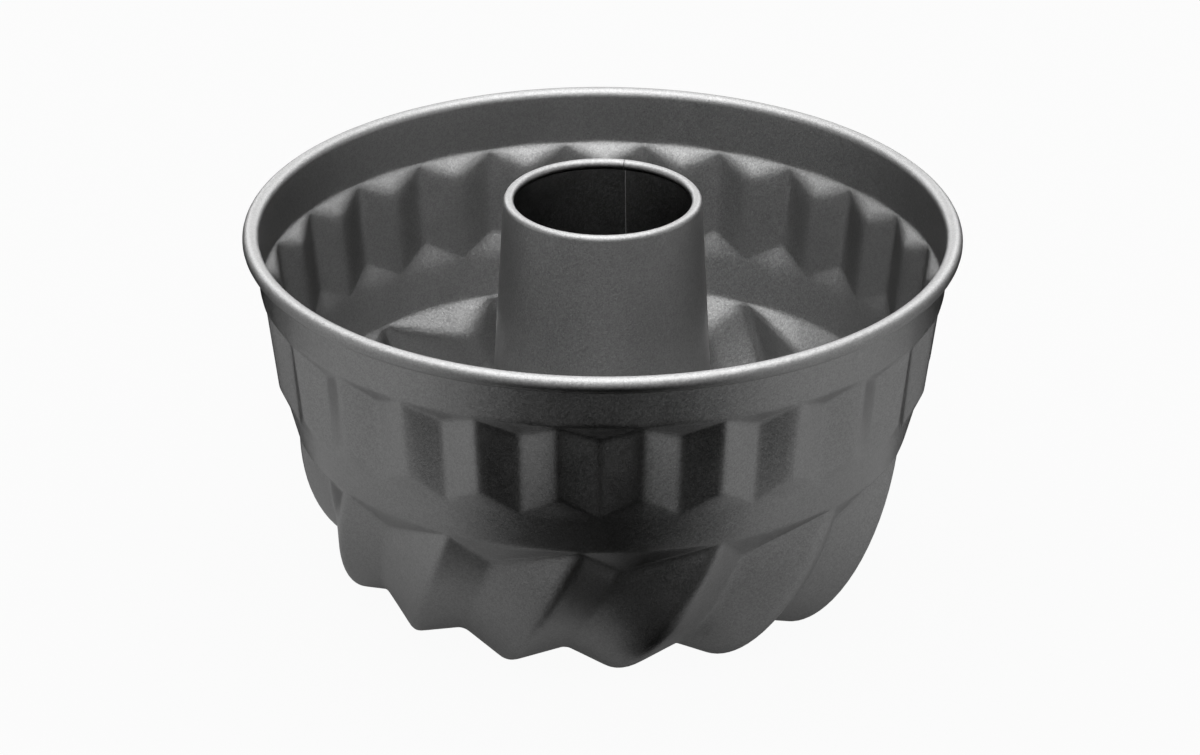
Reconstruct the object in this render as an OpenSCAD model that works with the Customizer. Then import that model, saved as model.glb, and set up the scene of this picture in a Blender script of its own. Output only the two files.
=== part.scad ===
// Fluted tube pan: a deep-drawn sheet body with a facet band and swirling flutes,
// and a tapered centre tube folded into its crown.
// The pan stands on its ridges at z = 0, crown down, with its mouth up and its front towards -Y.

/* [Pan] */
// Outside diameter over the rolled rim
pan_d = 220; // [205:1:240]
// Height from the table to the top of the rim
pan_h = 113.2; // [110:0.1:122]
// Thickness of the body's sheet
sheet = 0.6; // [0.4:0.05:0.8]

/* [Rolled rim] */
// Diameter of the bead
bead_d = 5.1; // [4.4:0.1:6]
// Degrees that the sheet turns round the bead
bead_turn = 300; // [240:10:310]

/* [Bands] */
// From the middle of the bead down to the facet band
plain_h = 15.1; // [10:0.1:17]
// How much the plain band narrows
plain_in = 0.5; // [0:0.1:2]
// Height of the facet band
facet_h = 33.8; // [28:0.2:36]
// How much the wall narrows over the facet band
facet_in = 7.2; // [6:0.1:9]
// Height of the lower band
lower_h = 12.5; // [9:0.1:15]
// How much the lower band narrows
lower_in = 3.4; // [2:0.1:5]

/* [Facets] */
// Number of facets round the wall
facet_n = 26; // [20:1:30]
// Depth of the ledge over each valley
top_ledge_in = 4.9; // [3:0.1:5.5]
// Height of the ledge over each valley
top_ledge_h = 6; // [4:0.1:8]
// Depth of the ledge under each crest
foot_ledge_in = 3.7; // [2:0.1:4.5]
// Height of the ledge under each crest
foot_ledge_h = 7.8; // [5:0.1:10]
// Turn of the facets from the front
facet_turn = -0.3; // [-5:0.1:5]

/* [Flutes] */
// Number of flutes
flute_n = 14; // [12:1:16]
// Depth of the flutes in the wall
flute_depth = 6.5; // [4:0.1:7]
// Height of the ledge over each flute
flute_ledge_h = 9.6; // [8:0.1:12]
// Depth of the flutes under the crown
crown_depth = 6.4; // [4:0.1:7]
// Width of the rounded top of each ridge and of the bottom of each flute
ridge_w = 2.4; // [1.6:0.1:3]
// Radius where the wall has turned into the crown
crown_r = 73.2; // [68:0.2:76]
// Squareness of the turn from wall to crown
corner_power = 1.9; // [1.8:0.1:3]
// How far above the flutes the curve of the wall is centred
curve_lift = 6.4; // [4:0.1:8]
// Degrees that the flutes turn while they run down the wall
swirl_down = 10; // [5:0.5:16]
// Degrees that the flutes turn while they run in to the tube
swirl_in = 26.7; // [5:0.1:32]
// Turn of the flutes from the front
flute_turn = -3.5; // [-8:0.1:8]

/* [Crown] */
// Length of the flat land that each ridge stands on
land_l = 10; // [6:0.5:14]
// Height of the crown at the tube
crown_rise = 8.5; // [7.5:0.1:10]
// Height of the collar round the tube
collar_h = 4.5; // [3:0.1:5]

/* [Centre tube] */
// Outside diameter of the tube's mouth
mouth_d = 60.8; // [56:0.2:64]
// Height of the tube's mouth over the rim
tube_over = 9.6; // [6:0.2:14]
// Growth of the tube's radius for each millimetre down
tube_taper = 0.053; // [0.03:0.001:0.07]
// Thickness of the tube's sheet
tube_sheet = 0.5; // [0.4:0.05:0.6]
// Diameter of the curl round the mouth
mouth_curl_d = 3.3; // [2.8:0.1:4]
// Degrees that the sheet turns round the mouth's curl
mouth_turn = 290; // [240:10:310]
// Clearance between the collar and the fold round it
fold_gap = 0.06; // [0.04:0.01:0.1]
// Height of the fold's outer leg
fold_leg_h = 1.6; // [1.2:0.1:2]

/* [Hidden] */
$fn = 96;

COLUMNS_PER_FACET = 4;
COLUMNS_PER_FLUTE = 8;
CURL_STEPS_INSIDE = 5;
CURL_STEPS_OUTSIDE = 10;
WALL_STEPS = 8;
CROWN_STEPS = 5;
// Crests and ridges start this far below their break line, so that no ledge tapers to nothing
CREST_START = 1;
// Degrees between the corners of the wedges that cut the curls open
WEDGE_STEP = 10;

// Rim and bands, measured on the outside of the sheet
bead_r = bead_d / 2;
bead_z = pan_h - bead_r;
bead_centre_r = pan_d / 2 - bead_r;
wall_top_r = bead_centre_r - bead_r + sheet;
plain_r = wall_top_r - plain_in;
plain_z = bead_z - plain_h;
facet_end_r = plain_r - facet_in;
facet_end_z = plain_z - facet_h;
lower_r = facet_end_r - lower_in;
lower_z = facet_end_z - lower_h;

// Corners of the facets, as radius and height
crest_top = [plain_r, plain_z - CREST_START];
crest_foot = [facet_end_r + foot_ledge_in, facet_end_z + foot_ledge_h];
valley_top = [plain_r - top_ledge_in, plain_z - top_ledge_h];
valley_foot = [facet_end_r, facet_end_z + CREST_START];

// The wall below the bands bends into the crown along a squared-off quarter ellipse
curve_z = lower_z + curve_lift;
ridge_reach = [lower_r - crown_r, curve_z];
flute_reach = ridge_reach - [flute_depth, crown_depth];

// The tube, measured on its outside, and the collar that fits round it
tube_top_z = pan_h + tube_over;
mouth_curl_r = mouth_curl_d / 2;
mouth_curl_z = tube_top_z - mouth_curl_r;
collar_end_z = crown_rise - collar_h;
function tube_r(z) = mouth_d / 2 + tube_taper * (mouth_curl_z - z);
function collar_r(z) = tube_r(z) + fold_gap;
crown_end_r = collar_r(crown_rise) + sheet;

facet_columns = facet_n * COLUMNS_PER_FACET;
flute_columns = flute_n * COLUMNS_PER_FLUTE;

// Helpers: a blend, a slow-fast-slow blend, and a point from radius, height and angle from the front
function mix(a, b, t) = a + (b - a) * t;
function ease(t) = t * t * (3 - 2 * t);
function ring_point(p, angle) = [p[0] * sin(angle), -p[0] * cos(angle), p[1]];

// Rings of the bead and the bands: valleys on every fourth column, crests halfway, chords between
function facet_angle(i) = facet_turn + 360 * i / facet_columns;
function facet_corner(i, crest, valley) =
    ring_point(i % COLUMNS_PER_FACET == 0 ? valley : crest, facet_angle(i));
function facet_ring(crest, valley) = [
    for (i = [0:facet_columns - 1])
        i % 2 == 0 ? facet_corner(i, crest, valley) :
        mix(facet_corner(i - 1, crest, valley), facet_corner(i + 1, crest, valley), 0.5)
];
function round_ring(p) = [for (i = [0:facet_columns - 1]) ring_point(p, facet_angle(i))];

// Rings of the fluted part. Each flute has its ridge on column 0 and its valley on column 4,
// each with a column on both sides of it at half of ridge_w, and one in the middle of each face.
function swirl(p) =
    -swirl_down * (lower_z - p[1]) / lower_z - swirl_in * (lower_r - p[0]) / (lower_r - crown_end_r);
function side_of(i) = [0, 1, 0, -1, 0, 1, 0, -1][i % COLUMNS_PER_FLUTE];
function flute_angle(i, p) =
    flute_turn + 360 / flute_n * (floor(i / COLUMNS_PER_FLUTE) + (i % COLUMNS_PER_FLUTE > 2 ? 0.5 : 0)
        + (i % COLUMNS_PER_FLUTE > 6 ? 0.5 : 0)) + side_of(i) * ridge_w / 2 / p[0] * 180 / PI;
function in_valley(i) = i % COLUMNS_PER_FLUTE > 2 && i % COLUMNS_PER_FLUTE < 6;
function flute_corner(i, ridge, valley, shift) =
    let (p = in_valley(i) ? valley : ridge)
    ring_point(p + (in_valley(i) ? shift[1] : shift[0]), flute_angle(i, p) + swirl(p));
function flute_ring(ridge, valley, shift) = [
    for (i = [0:flute_columns - 1])
        i % COLUMNS_PER_FLUTE == 2 || i % COLUMNS_PER_FLUTE == 6 ?
            mix(flute_corner(i - 1, ridge, valley, shift), flute_corner(i + 1, ridge, valley, shift), 0.5) :
            flute_corner(i, ridge, valley, shift)
];
function face_angle(i, p) = (flute_angle(i - 1, p) + flute_angle(i + 1, p)) / 2;
function collar_ring(p) = [
    for (i = [0:flute_columns - 1])
        ring_point(p, swirl([p[0], crown_rise])
            + (i % COLUMNS_PER_FLUTE == 2 || i % COLUMNS_PER_FLUTE == 6 ? face_angle(i, p) : flute_angle(i, p)))
];

// Curve of a ridge or of a flute's bottom, from its top at t = 0 to the crown at t = 1
function curve_start(reach, top_z) = asin(pow((curve_z - top_z) / reach[1], corner_power / 2));
function curve_turn(reach, top_z, t) = mix(curve_start(reach, top_z), 90, t);
function curve_point(reach, turn) = [
    crown_r + reach[0] * pow(cos(turn), 2 / corner_power),
    curve_z - reach[1] * pow(sin(turn), 2 / corner_power)
];
ridge_top_z = lower_z - CREST_START;
flute_top_z = lower_z - flute_ledge_h;

// inset is 0 on the outside of the sheet and the sheet's thickness on the inside
function wall_inset(turn, inset) = inset * [-cos(turn), sin(turn)];
function wall_rings(inset) = [
    for (step = [0:WALL_STEPS])
        let (
            ridge_turn = curve_turn(ridge_reach, ridge_top_z, step / WALL_STEPS),
            flute_turn_here = curve_turn(flute_reach, flute_top_z, step / WALL_STEPS)
        )
        flute_ring(
            curve_point(ridge_reach, ridge_turn), curve_point(flute_reach, flute_turn_here),
            [wall_inset(ridge_turn, inset), wall_inset(flute_turn_here, inset)])
];

// From the land inwards the ridges and flutes rise and run out at the collar
land_end_r = crown_r - land_l;
function crown_rings(inset) = [
    for (step = [0:CROWN_STEPS - 1])
        let (
            t = step / CROWN_STEPS,
            r = mix(land_end_r, crown_end_r, t),
            run = (crown_r - r) / (crown_r - crown_end_r)
        )
        flute_ring(
            [r, crown_rise * ease(t)], [r, mix(crown_depth, crown_rise, ease(run))],
            [[0, inset], [0, inset]])
];
function lower_rings(inset) = concat(
    [flute_ring([lower_r, lower_z], [lower_r, lower_z], [[-inset, 0], [-inset, 0]])],
    wall_rings(inset),
    crown_rings(inset));

function band_rings(inset) = [
    round_ring([plain_r - inset, plain_z]),
    facet_ring(crest_top - [inset, 0], valley_top - [inset, 0]),
    facet_ring(crest_foot - [inset, 0], valley_foot - [inset, 0]),
    round_ring([facet_end_r - inset, facet_end_z])
];

// The bead starts at the wall and turns over the top, outwards and down
function bead_ring(r, turn) = round_ring([bead_centre_r - r * cos(turn), bead_z + r * sin(turn)]);
bead_rings = concat(
    [for (step = [0:CURL_STEPS_INSIDE]) bead_ring(bead_r - sheet, bead_turn * step / CURL_STEPS_INSIDE)],
    [for (step = [CURL_STEPS_OUTSIDE:-1:0]) bead_ring(bead_r, bead_turn * step / CURL_STEPS_OUTSIDE)]);

collar_rings = [
    collar_ring([collar_r(crown_rise + sheet), crown_rise + sheet]),
    collar_ring([collar_r(collar_end_z), collar_end_z]),
    collar_ring([collar_r(collar_end_z) + sheet, collar_end_z]),
    collar_ring([crown_end_r, crown_rise])
];

function reversed(list) = [for (i = [len(list) - 1:-1:0]) list[i]];

// The sheet's section runs round the bead, down the inside, through the collar and up the outside
rings = concat(
    bead_rings, band_rings(sheet), lower_rings(sheet), collar_rings,
    reversed(lower_rings(0)), reversed(band_rings(0)));
ring_starts = [for (k = 0, s = 0; k < len(rings); s = s + len(rings[k]), k = k + 1) s];

// Where a ring of facet columns meets one of flute columns, each edge takes the nearest column across
turn_between = (facet_turn - flute_turn) / 360;
function lead(n, m) = n == m ? 0 : n == facet_columns ? turn_between : -turn_between;
function across(i, n, m) = floor(((i + 0.5) / n + lead(n, m)) * m + 0.5);
function back(j, n, m) = ceil(((j + 0.5) / m - lead(n, m)) * n - 0.5);
function at(k, i) = ring_starts[k] + (i + len(rings[k])) % len(rings[k]);
function strip(a, b) =
    let (n = len(rings[a]), m = len(rings[b]))
    n == m ?
        [for (i = [0:n - 1]) each [
            [at(a, i + 1), at(a, i), at(b, i)],
            [at(a, i + 1), at(b, i), at(b, i + 1)]
        ]] :
        concat(
            [for (i = [0:n - 1]) [at(a, i + 1), at(a, i), at(b, across(i, n, m))]],
            [for (j = [0:m - 1]) [at(a, back(j, n, m)), at(b, j), at(b, j + 1)]]);

module pan_body() {
    color("dimgray")
        polyhedron(
            points = [for (ring = rings) each ring],
            faces = [for (k = [0:len(rings) - 1]) each strip(k, (k + 1) % len(rings))],
            convexity = 10);
}

// A curl of sheet in the section, from the outside at angle 0 round to the angle turn
module curl(outer_r, thickness, turn) {
    intersection() {
        difference() {
            circle(r = outer_r);
            circle(r = outer_r - thickness);
        }
        polygon(concat([[0, 0]], [
            for (angle = [0:WEDGE_STEP:turn])
                2 * outer_r * [cos(angle), sin(angle)]
        ]));
    }
}

module tube_section() {
    fold_r = sheet / 2 + fold_gap + tube_sheet;
    fold_centre_r = collar_r(collar_end_z) + sheet / 2;
    polygon([
        [tube_r(collar_end_z) - tube_sheet, collar_end_z],
        [tube_r(collar_end_z), collar_end_z],
        [tube_r(mouth_curl_z), mouth_curl_z],
        [tube_r(mouth_curl_z) - tube_sheet, mouth_curl_z]
    ]);
    translate([mouth_d / 2 - mouth_curl_r, mouth_curl_z])
        curl(mouth_curl_r, tube_sheet, mouth_turn);
    translate([fold_centre_r, collar_end_z])
        rotate(180)
            curl(fold_r, tube_sheet, 180);
    translate([fold_centre_r + fold_r - tube_sheet, collar_end_z])
        square([tube_sheet, fold_leg_h]);
}

module centre_tube() {
    color("gray")
        rotate_extrude()
            tube_section();
}

pan_body();
centre_tube();
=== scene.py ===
import math

import bpy
import numpy as np
from mathutils import Matrix, Vector


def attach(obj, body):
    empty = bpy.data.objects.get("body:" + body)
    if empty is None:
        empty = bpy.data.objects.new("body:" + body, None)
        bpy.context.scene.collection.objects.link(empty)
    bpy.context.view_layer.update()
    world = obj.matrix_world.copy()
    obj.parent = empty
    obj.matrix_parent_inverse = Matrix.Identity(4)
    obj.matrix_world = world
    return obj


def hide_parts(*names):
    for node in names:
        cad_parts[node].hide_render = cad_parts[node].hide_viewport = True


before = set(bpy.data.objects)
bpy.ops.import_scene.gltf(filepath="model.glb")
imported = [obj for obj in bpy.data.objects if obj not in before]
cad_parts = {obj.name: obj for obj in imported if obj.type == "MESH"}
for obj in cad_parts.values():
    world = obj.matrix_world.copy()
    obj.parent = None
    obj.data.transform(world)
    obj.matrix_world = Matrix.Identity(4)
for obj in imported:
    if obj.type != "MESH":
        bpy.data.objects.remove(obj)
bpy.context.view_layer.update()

MM = 0.001

# ---- Sizes in millimetres, as in the part's source ----
PAN_D, PAN_H, SHEET = 220.0, 113.2, 0.6
BEAD_D, BEAD_TURN = 5.1, 300.0
PLAIN_H, PLAIN_IN = 15.1, 0.5
FACET_H, FACET_IN = 33.8, 7.2
LOWER_H, LOWER_IN = 12.5, 3.4
FACETS, FACET_TURN = 26, -0.3
TOP_LEDGE_IN, TOP_LEDGE_H = 4.9, 6.0
FOOT_LEDGE_IN, FOOT_LEDGE_H = 3.7, 7.8
FLUTES, FLUTE_TURN = 14, -3.5
FLUTE_DEPTH, FLUTE_LEDGE_H, CROWN_DEPTH = 6.5, 9.6, 6.4
RIDGE_W, CROWN_R, CORNER_POWER, CURVE_LIFT = 2.4, 73.2, 1.9, 6.4
SWIRL_DOWN, SWIRL_IN = 10.0, 26.7
LAND_L, CROWN_RISE, COLLAR_H = 10.0, 8.5, 4.5
MOUTH_D, TUBE_OVER, TUBE_TAPER, TUBE_SHEET = 60.8, 9.6, 0.053, 0.5
MOUTH_CURL_D, MOUTH_TURN = 3.3, 290.0
FOLD_GAP, FOLD_LEG_H = 0.06, 1.6
CREST_START = 1.0

BEAD_R = BEAD_D / 2
BEAD_Z = PAN_H - BEAD_R
BEAD_CENTRE_R = PAN_D / 2 - BEAD_R
WALL_TOP_R = BEAD_CENTRE_R - BEAD_R + SHEET
PLAIN_R, PLAIN_Z = WALL_TOP_R - PLAIN_IN, BEAD_Z - PLAIN_H
FACET_END_R, FACET_END_Z = PLAIN_R - FACET_IN, PLAIN_Z - FACET_H
LOWER_R, LOWER_Z = FACET_END_R - LOWER_IN, FACET_END_Z - LOWER_H
CURVE_Z = LOWER_Z + CURVE_LIFT
RIDGE_REACH = (LOWER_R - CROWN_R, CURVE_Z)
FLUTE_REACH = (RIDGE_REACH[0] - FLUTE_DEPTH, RIDGE_REACH[1] - CROWN_DEPTH)
MOUTH_CURL_R = MOUTH_CURL_D / 2
MOUTH_CURL_Z = PAN_H + TUBE_OVER - MOUTH_CURL_R
COLLAR_END_Z = CROWN_RISE - COLLAR_H


def tube_r(z):
    """The tube's outer radius at a height."""
    return MOUTH_D / 2 + TUBE_TAPER * (MOUTH_CURL_Z - z)


CROWN_END_R = tube_r(CROWN_RISE) + FOLD_GAP + SHEET
LAND_END_R = CROWN_R - LAND_L

# The tube's butt seam, at the back of the mouth: its angle from the front in degrees, the gap between its edges,
# and how far and how deep the edges are rolled over. Angles along it are worked out at half its height.
SEAM_ANGLE, SEAM_GAP = 166.6, 0.22
EDGE_ROLL_W, EDGE_ROLL_DEPTH = 0.16, 0.045
SEAM_R = tube_r(60)

# Steps round the bead's outside and inside, along the tube's fold, wall and mouth curl, and round the tube
BEAD_STEPS, HOLLOW_STEPS = 30, 10
FOLD_STEPS, TUBE_WALL_STEPS, CURL_STEPS = 14, 24, 30
TUBE_COLUMNS = 150
# An edge that bends by more degrees than this is shaded sharp: the cut edges, and a few of the tightest breaks
SHARP_ANGLE = 48


# ---- The drawn sheet, first as a fine grid with sharp breaks ----
# Columns run round the pan. The bands' columns are counted from a facet's valley, and the
# flutes' from a ridge. The two counts are FLUTE_SHIFT columns apart, so that they nearly agree.
COLUMNS = 1456
HALF_FACET, HALF_FACET_TURN = COLUMNS // (2 * FACETS), 180 / FACETS
HALF_FLUTE, HALF_FLUTE_TURN = COLUMNS // (2 * FLUTES), 180 / FLUTES
FLUTE_SHIFT = 13
column = np.arange(COLUMNS)
band_angle = FACET_TURN + 360 * column / COLUMNS
flute_angle = FLUTE_TURN + 360 * (column + FLUTE_SHIFT) / COLUMNS


def point(r, z, angle):
    """Points from radius, height and angle from the front, in millimetres."""
    r, z, angle = np.broadcast_arrays(np.asarray(r, float), z, np.radians(angle))
    return np.stack([r * np.sin(angle), -r * np.cos(angle), z], -1)


def ease(t):
    """A share from 0 to 1 with a soft start and end."""
    return t * t * (3 - 2 * t)


def facet_row(crest, valley):
    """One row of the facet band: flat chords between its crests and its valleys."""
    half = column // HALF_FACET
    t = (column % HALF_FACET / HALF_FACET)[:, None]
    crest_at = half + (half + 1) % 2
    valley_at = half + half % 2
    p_crest = point(*crest, FACET_TURN + HALF_FACET_TURN * crest_at)
    p_valley = point(*valley, FACET_TURN + HALF_FACET_TURN * valley_at)
    to_crest = np.where(half[:, None] % 2 == 0, t, 1 - t)
    return p_valley + (p_crest - p_valley) * to_crest


def swirl(r, z):
    """How far round the flutes have swirled at a place of the section, in degrees."""
    return -SWIRL_DOWN * (LOWER_Z - z) / LOWER_Z - SWIRL_IN * (LOWER_R - r) / (LOWER_R - CROWN_END_R)


def flute_row(ridge, valley):
    """One row of the flutes: flat faces between rounded ridges and valleys."""
    place = column + FLUTE_SHIFT
    half = place // HALF_FLUTE
    t = place % HALF_FLUTE / HALF_FLUTE
    ridge_at, valley_at = half + half % 2, half + (half + 1) % 2
    to_valley = np.where(half % 2 == 0, t, 1 - t)
    flat = RIDGE_W / 2 / (math.radians(HALF_FLUTE_TURN) * ridge[0])
    blend = np.clip((to_valley - flat) / (1 - 2 * flat), 0, 1)[:, None]
    side = np.where(half % 2 == 0, 1, -1)
    ridge_turn = side * HALF_FLUTE_TURN * np.minimum(to_valley, flat)
    valley_turn = side * HALF_FLUTE_TURN * np.minimum(1 - to_valley, flat)
    p_ridge = point(*ridge, FLUTE_TURN + HALF_FLUTE_TURN * ridge_at + swirl(*ridge) + ridge_turn)
    p_valley = point(*valley, FLUTE_TURN + HALF_FLUTE_TURN * valley_at + swirl(*valley) - valley_turn)
    return p_ridge + (p_valley - p_ridge) * blend


def curve_point(reach, top_z, t):
    """Radius and height at a share of the wall's curve, from a height near its top down to the crown."""
    start = math.asin(((CURVE_Z - top_z) / reach[1]) ** (CORNER_POWER / 2))
    turn = start + (math.pi / 2 - start) * t
    return (CROWN_R + reach[0] * max(math.cos(turn), 0) ** (2 / CORNER_POWER),
            CURVE_Z - reach[1] * math.sin(turn) ** (2 / CORNER_POWER))


def wall_row(t):
    """One row of the flutes on the wall."""
    return flute_row(curve_point(RIDGE_REACH, LOWER_Z - CREST_START, t),
                     curve_point(FLUTE_REACH, LOWER_Z - FLUTE_LEDGE_H, t))


def crown_row(r):
    """One row of the flutes on the crown, where they die out towards the collar."""
    rise = max(0, (LAND_END_R - r) / (LAND_END_R - CROWN_END_R))
    run = (CROWN_R - r) / (CROWN_R - CROWN_END_R)
    return flute_row((r, CROWN_RISE * ease(rise)),
                     (r, CROWN_DEPTH + (CROWN_RISE - CROWN_DEPTH) * ease(run)))


def collar_row(t):
    """One row of the plain collar that turns down round the centre hole, into the tube's fold."""
    z = CROWN_RISE - COLLAR_H * t
    return point(tube_r(z) + FOLD_GAP + SHEET, z, flute_angle + swirl(CROWN_END_R, CROWN_RISE))


def between(a, b, t):
    """A share of the way from one value, or grid, to another."""
    return a + (b - a) * t


crest_rows = {
    "top": facet_row((PLAIN_R, PLAIN_Z - CREST_START), (PLAIN_R - TOP_LEDGE_IN, PLAIN_Z - TOP_LEDGE_H)),
    "foot": facet_row((FACET_END_R + FOOT_LEDGE_IN, FACET_END_Z + FOOT_LEDGE_H),
                      (FACET_END_R, FACET_END_Z + CREST_START)),
}
wall_top = point(WALL_TOP_R, BEAD_Z, band_angle)
plain_end = point(PLAIN_R, PLAIN_Z, band_angle)
facet_end = point(FACET_END_R, FACET_END_Z, band_angle)


def lower_row(t):
    """One row of the lower band, where the facets' columns pass over to the flutes'."""
    angle = between(band_angle, flute_angle, ease(t))
    return point(between(FACET_END_R, LOWER_R, t), between(FACET_END_Z, LOWER_Z, t), angle)


# Each stretch of the section: its fine rows, a row at a share of it, and the shares that the
# finished mesh keeps, closest together beside a break
EVEN_ENDS = (0.06, 0.14, 0.3, 0.5, 0.7, 0.86, 0.94, 1)
LEDGE = (0.1, 0.22, 0.36, 0.5, 0.64, 0.78, 0.9, 1)
STRETCHES = [
    (30, lambda t: between(wall_top, plain_end, t), (0.25, 0.5, 0.7, 0.83, 0.91, 0.96, 1)),
    (12, lambda t: between(plain_end, crest_rows["top"], t), LEDGE),
    (48, lambda t: between(crest_rows["top"], crest_rows["foot"], t),
     (0.03, 0.07, 0.15, 0.3, 0.5, 0.7, 0.85, 0.93, 0.97, 1)),
    (14, lambda t: between(crest_rows["foot"], facet_end, t), LEDGE),
    (26, lower_row, EVEN_ENDS),
    (22, lambda t: between(lower_row(1), wall_row(0), t), LEDGE),
    (100, wall_row, (0.02, 0.045, 0.08, 0.13, 0.19, 0.25, 0.31, 0.37, 0.43, 0.49, 0.55, 0.61,
                     0.67, 0.72, 0.77, 0.81, 0.85, 0.89, 0.93, 0.97, 1)),
    (20, lambda t: crown_row(between(CROWN_R, LAND_END_R, t)), (0.35, 0.7, 1)),
    (52, lambda t: crown_row(between(LAND_END_R, CROWN_END_R, t)),
     (0.1, 0.22, 0.35, 0.5, 0.65, 0.78, 0.88, 0.94, 0.97, 1)),
    (9, collar_row, (0.12, 0.3, 0.6, 1)),
]
FINE_ROWS = [wall_top] + [row(i / count) for count, row, _ in STRETCHES for i in range(1, count + 1)]
fine_sheet = np.array(FINE_ROWS)

# The lower band's place among the stretches. Down it the columns pass over from the facets' to the flutes'.
LOWER_STRETCH = 4

# The finished columns: seven to half a facet and thirteen to half a flute, closest beside the breaks
FACET_SHARES = np.array([0, 0.055, 0.14, 0.32, 0.68, 0.86, 0.945])
FLUTE_SHARES = np.array([0, 0.03, 0.07, 0.12, 0.19, 0.29, 0.42, 0.58, 0.71, 0.81, 0.88, 0.93, 0.97])
# How many finished columns the flutes' count starts after the facets', so that the two nearly agree
FLUTE_COLUMN_SHIFT = 3
in_half_facet, in_half_flute = len(FACET_SHARES), len(FLUTE_SHARES)
kept = np.arange(2 * FACETS * in_half_facet)
band_columns = HALF_FACET * (kept // in_half_facet + FACET_SHARES[kept % in_half_facet])
flute_place = kept + FLUTE_COLUMN_SHIFT
flute_columns = HALF_FLUTE * (flute_place // in_half_flute + FLUTE_SHARES[flute_place % in_half_flute]) - FLUTE_SHIFT

# How far the breaks are softened down and round the pan, in grid steps of about 0.7 mm down and 0.5 mm round:
# every break first, then the crests and the valleys of the outer face, and both again as the inner face has them
BASE_REACH, VALLEY_REACH, CREST_REACH = (1.1, 1.1), (1.7, 2.0), (1.4, 3.0)
INNER_CREST_REACH, INNER_VALLEY_REACH = (1.4, 4.5), (3.9, 4.8)
# The inner face leaves the outer one's valleys by this much at most, in millimetres. It is less than the sheet's
# thickness, so the two never cross. A higher power would reach that limit with a sharper bend.
MOST_SHIFT, LIMIT_POWER = 0.52, 4


def soften(grid, rows_reach, columns_reach):
    """Rounds the breaks of a fine grid, as a press rounds sheet over its tools. The reaches are in grid steps, and
    each weight is a bell curve's, cut off at three reaches."""
    for axis, reach in ((0, rows_reach), (1, columns_reach)):
        width = int(3 * reach) + 1
        weights = np.exp(-0.5 * (np.arange(-width, width + 1) / reach) ** 2)
        weights /= weights.sum()
        if axis == 0:
            first = 2 * grid[:1] - grid[1:width + 1][::-1]
            last = 2 * grid[-1:] - grid[-width - 1:-1][::-1]
            padded = np.concatenate([first, grid, last])
            grid = sum(w * padded[i:i + len(grid)] for i, w in enumerate(weights))
        else:
            grid = sum(w * np.roll(grid, i - width, axis=1) for i, w in enumerate(weights))
    return grid


def normals(grid):
    """The outward normals of a grid that runs down and round the pan."""
    across = np.roll(grid, -1, axis=1) - np.roll(grid, 1, axis=1)
    down = np.gradient(grid, axis=0)
    n = np.cross(down, across)
    return n / np.linalg.norm(n, axis=-1, keepdims=True)


def pressed():
    """The sheet's outer face, and the face that its inner one is offset from. A press rounds the crests of the
    outside more than its valleys. Inside the pan those valleys are the crests, so there they are rounded wider."""
    tight = soften(fine_sheet, *BASE_REACH)
    out = normals(tight)

    def shift(reach):
        """How far a wider softening would move each point outwards: less than 0 on crests, more in valleys."""
        return ((soften(fine_sheet, *reach) - tight) * out).sum(-1, keepdims=True)

    crests, valleys = np.minimum(shift(CREST_REACH), 0), np.maximum(shift(VALLEY_REACH), 0)
    inner_crests = np.minimum(shift(INNER_CREST_REACH), 0)
    inner_valleys = np.maximum(shift(INNER_VALLEY_REACH), 0)
    more = np.maximum(inner_valleys - valleys, 0)
    more = more / (1 + (more / MOST_SHIFT) ** LIMIT_POWER) ** (1 / LIMIT_POWER)
    return tight + out * (crests + valleys), tight + out * (inner_crests + valleys + more)


def sampled(grid):
    """The rows and columns of the finished mesh, out of a fine grid."""
    rows, columns, first = [0.0], [band_columns], 0
    for k, (count, _, shares) in enumerate(STRETCHES):
        for share in shares:
            rows.append(first + count * share)
            t = share if k == LOWER_STRETCH else float(k > LOWER_STRETCH)
            columns.append(between(band_columns, flute_columns, ease(t)))
        first += count
    rows, columns = np.array(rows), np.array(columns)
    r0 = np.minimum(rows.astype(int), len(grid) - 2)
    rt = (rows - r0)[:, None, None]
    c0 = np.floor(columns).astype(int)
    ct = (columns - c0)[..., None]
    r0 = r0[:, None]
    a = between(grid[r0, c0 % COLUMNS], grid[r0, (c0 + 1) % COLUMNS], ct)
    b = between(grid[r0 + 1, c0 % COLUMNS], grid[r0 + 1, (c0 + 1) % COLUMNS], ct)
    return between(a, b, rt)


def closed_mesh(name, rows, wrap_columns=True):
    """A mesh of quads from a grid of points in millimetres, whose last row meets its first. Where the columns don't
    wrap round as well, one face closes each end."""
    rows = np.asarray(rows) * MM
    count, width = rows.shape[:2]
    i, j = np.meshgrid(np.arange(count), np.arange(width if wrap_columns else width - 1), indexing="ij")
    i1, j1 = (i + 1) % count, (j + 1) % width
    quads = np.stack([i * width + j, i1 * width + j, i1 * width + j1, i * width + j1], -1).reshape(-1, 4)
    faces = quads.tolist()
    if not wrap_columns:
        faces.append([k * width for k in range(count)])
        faces.append([k * width + width - 1 for k in range(count)][::-1])
    mesh = bpy.data.meshes.new(name)
    mesh.from_pydata(rows.reshape(-1, 3).tolist(), [], faces)
    mesh.validate()
    mesh.shade_smooth()
    mesh.set_sharp_from_angle(angle=math.radians(SHARP_ANGLE))
    obj = bpy.data.objects.new(name, mesh)
    bpy.context.scene.collection.objects.link(obj)
    return obj


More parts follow.
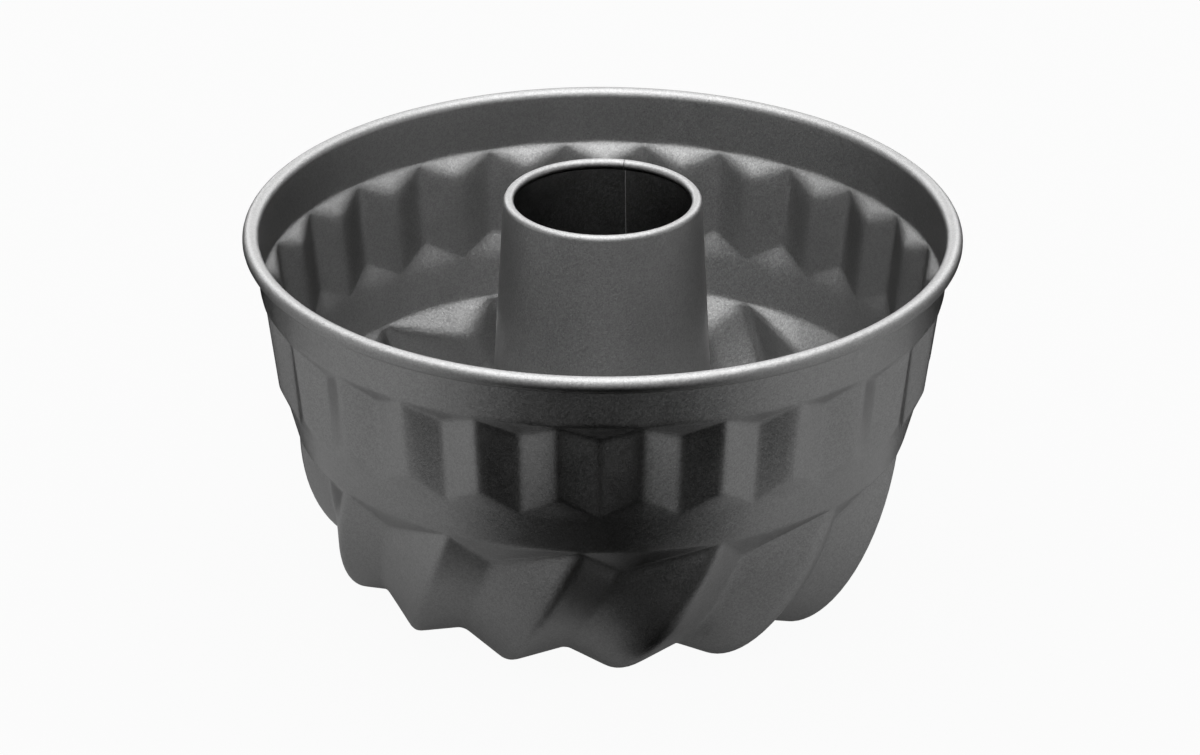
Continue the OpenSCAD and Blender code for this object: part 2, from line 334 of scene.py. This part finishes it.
def make_body():
    """The drawn sheet as one closed mesh: up its inner face, round the bead and its hollow, and down its outer one."""
    outside, inside = pressed()
    inside = inside - normals(inside) * SHEET
    outer, inner = sampled(outside), sampled(inside)
    angle = FACET_TURN + 360 * band_columns / COLUMNS
    outer[0] = point(WALL_TOP_R, BEAD_Z, angle)
    inner[0] = point(WALL_TOP_R - SHEET, BEAD_Z, angle)

    def bead_row(r, turn):
        """One row of the rolled bead: its radius round the bead's centre, and how far it has turned."""
        turn = math.radians(turn)
        return point(BEAD_CENTRE_R - r * math.cos(turn), BEAD_Z + r * math.sin(turn), angle)

    around = [bead_row(BEAD_R, BEAD_TURN * k / BEAD_STEPS) for k in range(1, BEAD_STEPS + 1)]
    hollow = [bead_row(BEAD_R - SHEET, BEAD_TURN * k / HOLLOW_STEPS) for k in range(HOLLOW_STEPS, 0, -1)]
    return closed_mesh("pan_body_sheet", list(inner[::-1]) + around + hollow + list(outer))


def make_tube():
    """The tube's section as a strip along its middle line, swept from one edge of the butt seam to the other."""
    half = TUBE_SHEET / 2
    line, normal = [], []

    def arc(centre_r, centre_z, radius, start, end, steps):
        """Adds an arc to the middle line, with its normals away from its centre."""
        for k in range(steps + 1):
            a = math.radians(start + (end - start) * k / steps)
            line.append((centre_r + radius * math.cos(a), centre_z + radius * math.sin(a)))
            normal.append((math.cos(a), math.sin(a)))

    fold_r = SHEET / 2 + FOLD_GAP + half
    fold_centre = tube_r(COLLAR_END_Z) + FOLD_GAP + SHEET / 2
    line.append((fold_centre + fold_r, COLLAR_END_Z + FOLD_LEG_H))
    normal.append((1.0, 0.0))
    arc(fold_centre, COLLAR_END_Z, fold_r, 0, -180, FOLD_STEPS)
    for k in range(1, TUBE_WALL_STEPS):
        z = between(COLLAR_END_Z, MOUTH_CURL_Z, k / TUBE_WALL_STEPS)
        line.append((tube_r(z) - half, z))
        normal.append((-1.0, -TUBE_TAPER))
    curl_start = len(line)
    arc(MOUTH_D / 2 - MOUTH_CURL_R, MOUTH_CURL_Z, MOUTH_CURL_R - half, 0, MOUTH_TURN, CURL_STEPS)
    line, normal = np.array(line), np.array(normal)
    normal[curl_start:] *= -1
    side_a, side_b = line + normal * half, line - normal * half
    section = np.concatenate([side_a, side_b[::-1]])

    # Columns close together beside the seam, where the edges are rolled over a little
    edge = np.array([0, 0.12, 0.3, 0.6, 1.1]) / SEAM_R * 180 / math.pi
    gap = SEAM_GAP / 2 / SEAM_R * 180 / math.pi
    whole = 360 - 2 * gap
    turns = np.concatenate([edge, np.linspace(edge[-1], whole - edge[-1], TUBE_COLUMNS)[1:-1], whole - edge[::-1]])
    from_edge = np.minimum(turns, whole - turns) * math.pi / 180 * SEAM_R
    sink = EDGE_ROLL_DEPTH * np.exp(-from_edge / EDGE_ROLL_W)
    angle = SEAM_ANGLE + gap + turns
    inward = np.concatenate([-normal, normal[::-1]])
    rows = [point(r + sink * nr, z + sink * nz, angle) for (r, z), (nr, nz) in zip(section, inward)]
    return closed_mesh("centre_tube_sheet", rows, wrap_columns=False)


# ---- Materials ----
def linear(hex_colour):
    """An sRGB hex colour as the linear RGBA that the shader wants."""
    parts = [int(hex_colour[k:k + 2], 16) / 255 for k in (1, 3, 5)]
    return [c / 12.92 if c <= 0.04045 else ((c + 0.055) / 1.055) ** 2.4 for c in parts] + [1.0]


def add_node(tree, kind, settings=(), inputs=(), links=()):
    """Adds a node: its own settings, values for its sockets, and links into its sockets."""
    node = tree.nodes.new(kind)
    for name, value in dict(settings).items():
        setattr(node, name, value)
    for name, value in dict(inputs).items():
        node.inputs[name].default_value = value
    for name, source in dict(links).items():
        tree.links.new(source, node.inputs[name])
    return node


def new_material(name):
    material = bpy.data.materials.new(name)
    material.use_nodes = True
    material.node_tree.nodes.clear()
    return material, material.node_tree


def silicone_polyester_coating():
    """Dark grey non-stick bakeware coating, sprayed and baked on drawn steel: aluminium flake in an almost
    black binder. The flake lies flat in the film but for a few degrees, so the sheet has a broad satin sheen
    that follows every facet, and a fine grain in the light. The binder alone is dark and hardly mirrors."""
    # Flake: single flakes are 0.03 mm. Drawn as clusters of 0.4 mm, each with its own share and tilt of flakes
    cluster_size, flake_share, flake_tilt = 0.4 * MM, (0.44, 0.6), 0.12
    # Film: the baked film's fine orange peel, 0.6 mm from crest to crest
    peel_size, peel_depth, peel_strength = 0.6 * MM, 0.02 * MM, 0.2
    # Spray: a faint unevenness of the film, about 12 mm across, which changes the flake's sheen a little
    spray_size, flake_roughness = 12 * MM, (0.5, 0.54)

    material, tree = new_material("nonstick_coating_dark_grey")
    place = add_node(tree, "ShaderNodeTexCoord").outputs["Object"]
    clusters = add_node(tree, "ShaderNodeTexVoronoi", {"feature": "F1"},
                        {"Scale": 1 / cluster_size, "Randomness": 1.0}, {"Vector": place})
    # A random number for each cluster that doesn't go with its tilt, which comes from the same colour
    spread = add_node(tree, "ShaderNodeVectorMath", {"operation": "DOT_PRODUCT"},
                      {1: (5.3, 7.1, 3.7)}, {0: clusters.outputs["Color"]})
    lot = add_node(tree, "ShaderNodeMath", {"operation": "FRACT"}, {}, {0: spread.outputs["Value"]})
    share = add_node(tree, "ShaderNodeMapRange", {}, {"To Min": flake_share[0], "To Max": flake_share[1]},
                     {"Value": lot.outputs["Value"]})
    centred = add_node(tree, "ShaderNodeVectorMath", {"operation": "SUBTRACT"},
                       {1: (0.5, 0.5, 0.5)}, {0: clusters.outputs["Color"]})
    tilt = add_node(tree, "ShaderNodeVectorMath", {"operation": "SCALE"},
                    {"Scale": flake_tilt}, {0: centred.outputs["Vector"]})
    peel = add_node(tree, "ShaderNodeTexNoise", {},
                    {"Scale": 1 / peel_size, "Detail": 2.0, "Roughness": 0.6}, {"Vector": place})
    relief = add_node(tree, "ShaderNodeBump", {}, {"Strength": peel_strength, "Distance": peel_depth},
                      {"Height": peel.outputs["Fac"]})
    tilted = add_node(tree, "ShaderNodeVectorMath", {"operation": "ADD"}, {},
                      {0: relief.outputs["Normal"], 1: tilt.outputs["Vector"]})
    flake_normal = add_node(tree, "ShaderNodeVectorMath", {"operation": "NORMALIZE"}, {},
                            {0: tilted.outputs["Vector"]})
    spray = add_node(tree, "ShaderNodeTexNoise", {},
                     {"Scale": 1 / spray_size, "Detail": 3.0, "Roughness": 0.55}, {"Vector": place})
    gloss = add_node(tree, "ShaderNodeMapRange", {},
                     {"From Min": 0.3, "From Max": 0.7, "To Min": flake_roughness[0], "To Max": flake_roughness[1]},
                     {"Value": spray.outputs["Fac"]})
    flake = add_node(tree, "ShaderNodeBsdfMetallic", {"distribution": "BECKMANN"},
                     {"Base Color": linear("#d2d2d2"), "Edge Tint": linear("#f6f6f6")},
                     {"Roughness": gloss.outputs["Result"], "Normal": flake_normal.outputs["Vector"]})
    binder = add_node(tree, "ShaderNodeBsdfPrincipled", {},
                      {"Base Color": linear("#171717"), "Metallic": 0.0, "Roughness": 0.28, "IOR": 1.5},
                      {"Normal": relief.outputs["Normal"]})
    film = add_node(tree, "ShaderNodeMixShader", {}, {},
                    {"Fac": share.outputs["Result"], 1: binder.outputs["BSDF"], 2: flake.outputs["BSDF"]})
    add_node(tree, "ShaderNodeOutputMaterial", links={"Surface": film.outputs["Shader"]})
    return material


def studio_card():
    """Pale grey card, matt and faintly fibrous, 2 mm from fibre to fibre. The camera sees it lit up to white, and
    what mirrors it sees it lit up a little."""
    fibre_size, seen_lift, mirrored_lift = 2 * MM, 0.95, 0.1
    material, tree = new_material("studio_card_pale_grey")
    place = add_node(tree, "ShaderNodeTexCoord").outputs["Object"]
    fibre = add_node(tree, "ShaderNodeTexNoise", {}, {"Scale": 1 / fibre_size, "Detail": 2.0}, {"Vector": place})
    tint = add_node(tree, "ShaderNodeValToRGB", links={"Fac": fibre.outputs["Fac"]})
    tint.color_ramp.elements[0].color = linear("#848484")
    tint.color_ramp.elements[1].color = linear("#888888")
    card = add_node(tree, "ShaderNodeBsdfDiffuse", links={"Color": tint.outputs["Color"]})
    rays = add_node(tree, "ShaderNodeLightPath")
    mirrored = add_node(tree, "ShaderNodeMath", {"operation": "MAXIMUM"}, {},
                        {0: rays.outputs["Is Glossy Ray"], 1: rays.outputs["Is Transmission Ray"]})
    mirrored = add_node(tree, "ShaderNodeMath", {"operation": "MULTIPLY"},
                        {1: mirrored_lift}, {0: mirrored.outputs["Value"]})
    seen = add_node(tree, "ShaderNodeMath", {"operation": "MULTIPLY"},
                    {1: seen_lift}, {0: rays.outputs["Is Camera Ray"]})
    lift = add_node(tree, "ShaderNodeMath", {"operation": "MAXIMUM"}, {},
                    {0: mirrored.outputs["Value"], 1: seen.outputs["Value"]})
    white = add_node(tree, "ShaderNodeEmission", {}, {"Color": (1, 1, 1, 1), "Strength": 1.0})
    surface = add_node(tree, "ShaderNodeMixShader", {}, {},
                       {"Fac": lift.outputs["Value"], 1: card.outputs["BSDF"], 2: white.outputs["Emission"]})
    add_node(tree, "ShaderNodeOutputMaterial", links={"Surface": surface.outputs["Shader"]})
    return material


def painted_shade_sheet():
    """Matt black sheet of painted shade, seen only in the pan's reflections as a dark floor where the pan's shade
    would fall.
    """
    material, tree = new_material("painted_shade_sheet")
    shader = add_node(tree, "ShaderNodeBsdfDiffuse", {}, {"Color": linear("#0e0e0e")})
    add_node(tree, "ShaderNodeOutputMaterial", links={"Surface": shader.outputs["BSDF"]})
    return material


# ---- The pieces ----
coating = silicone_polyester_coating()
body = make_body()
tube = make_tube()
for piece, node in ((body, "pan_body"), (tube, "centre_tube")):
    piece.data.materials.append(coating)
    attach(piece, "root")
    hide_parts(node)


# ---- Floor, cards, lights and camera, in metres and degrees ----
FLOOR_HALF_W, FLOOR_DROP = 4, 0.0003


def flat_sheet(name, corners, height, material):
    """A staged flat sheet on or under the plane that the pan stands on."""
    mesh = bpy.data.meshes.new(name)
    mesh.from_pydata([(x, y, height) for x, y in corners], [], [tuple(range(len(corners)))])
    mesh.materials.append(material)
    sheet = bpy.data.objects.new(name, mesh)
    bpy.context.scene.collection.objects.link(sheet)
    return sheet


def sector(first, last, near, far):
    """The corners of a flat sector round the pan, between two angles from the front and two distances."""
    steps = 6
    turns = [math.radians(first + (last - first) * k / steps) for k in range(steps + 1)]
    return ([(near * math.sin(t), -near * math.cos(t)) for t in turns]
            + [(far * math.sin(t), -far * math.cos(t)) for t in reversed(turns)])


floor_corners = [(FLOOR_HALF_W * x, FLOOR_HALF_W * y) for x, y in ((-1, -1), (1, -1), (1, 1), (-1, 1))]
flat_sheet("studio_floor", floor_corners, -FLOOR_DROP, studio_card())

# Black cards are painted shade, seen only in the pan's reflections: a dark floor that keeps the pan's front, edges and
# bore dark.
# They lie before the pan, behind it on both sides and under it. At the front two small ones come closer: the first
# darkens the middle of the lower band, and the second the flute below it, a little to the right. Only what mirrors the
# cards sees them.
SHADE_CARDS = {
    "card_front": sector(-34, 34, 0.122, 0.8),
    "card_front_near": sector(-22, 14, 0.104, 0.122),
    "card_front_foot": sector(1, 24, 0.086, 0.104),
    "card_left": sector(-174, -106, 0.078, 0.8),
    "card_right": sector(106, 174, 0.078, 0.8),
    "card_under": sector(-180, 180, 0.0, 0.07),
}
shade_sheet_material = painted_shade_sheet()
for name, corners in SHADE_CARDS.items():
    card = flat_sheet(name, corners, 0.0, shade_sheet_material)
    card.visible_camera = card.visible_shadow = card.visible_diffuse = False

SOFTBOX_FAR, FRONT_SOFTBOX_FAR, AIM_HEIGHT = 1.3, 2.2, 0.06


def softbox(name, aside, up, width, height, power, far=SOFTBOX_FAR):
    """A softbox aimed at the pan: its angle from the front, its elevation, its size, its watts and its distance."""
    aside, up = math.radians(aside), math.radians(up)
    out = Vector((math.sin(aside) * math.cos(up), -math.cos(aside) * math.cos(up), math.sin(up)))
    data = bpy.data.lights.new(name, "AREA")
    data.shape = "RECTANGLE"
    data.size, data.size_y, data.energy = width, height, power
    lamp = bpy.data.objects.new(name, data)
    lamp.location = Vector((0, 0, AIM_HEIGHT)) + out * far
    lamp.rotation_euler = (-out).to_track_quat("-Z", "Y").to_euler()
    lamp.visible_camera = False
    bpy.context.scene.collection.objects.link(lamp)


for side, sign in (("left", -1), ("right", 1)):
    softbox(side + "_low", sign * 75, 12, 0.9, 0.4, 0.6)
    softbox(side + "_high", sign * 90, 50, 0.9, 0.8, 1.1)
    softbox(side + "_back", sign * 142, 30, 0.7, 0.6, 2.6)
softbox("back", 180, 30, 1.4, 0.9, 5.0)
softbox("back_high", 180, 60, 1.3, 0.5, 2.2)
softbox("top", 0, 86, 1.5, 1.4, 18.5)
softbox("front", 0, 38, 0.9, 0.5, 4.0, far=FRONT_SOFTBOX_FAR)

world = bpy.data.worlds.new("studio_air")
world.use_nodes = True
air = world.node_tree.nodes["Background"]
air.inputs["Color"].default_value = linear("#f4f4f4")
air.inputs["Strength"].default_value = 0.37
bpy.context.scene.world = world
bpy.context.scene.view_settings.view_transform = "Standard"

# The camera, found from the photograph's rim, bands and facets: how far it is from the middle of the rim and how
# high above it, where it looks, and its focal length in the photograph's own pixels
CAMERA_FAR, CAMERA_UP = 1.9932, math.radians(24.32)
CAMERA_PITCH, CAMERA_YAW, CAMERA_ROLL = math.radians(25.59), math.radians(-0.020), math.radians(0.219)
FOCAL_PIXELS, PHOTO_WIDTH, SENSOR_WIDTH = 6521, 1200, 36.0
camera_data = bpy.data.cameras.new("camera")
camera_data.sensor_width = SENSOR_WIDTH
camera_data.lens = SENSOR_WIDTH * FOCAL_PIXELS / PHOTO_WIDTH
camera = bpy.data.objects.new("camera", camera_data)
forward = Vector((math.sin(CAMERA_YAW) * math.cos(CAMERA_PITCH), math.cos(CAMERA_YAW) * math.cos(CAMERA_PITCH),
                  -math.sin(CAMERA_PITCH)))
level = forward.cross(Vector((0, 0, 1))).normalized()
upright = level.cross(forward)
right = level * math.cos(CAMERA_ROLL) + upright * math.sin(CAMERA_ROLL)
up = right.cross(forward)
spot = (0, -CAMERA_FAR * math.cos(CAMERA_UP), BEAD_Z * MM + CAMERA_FAR * math.sin(CAMERA_UP))
camera.matrix_world = Matrix.Translation(spot) @ Matrix((right, up, -forward)).transposed().to_4x4()
bpy.context.scene.collection.objects.link(camera)
bpy.context.scene.camera = camera
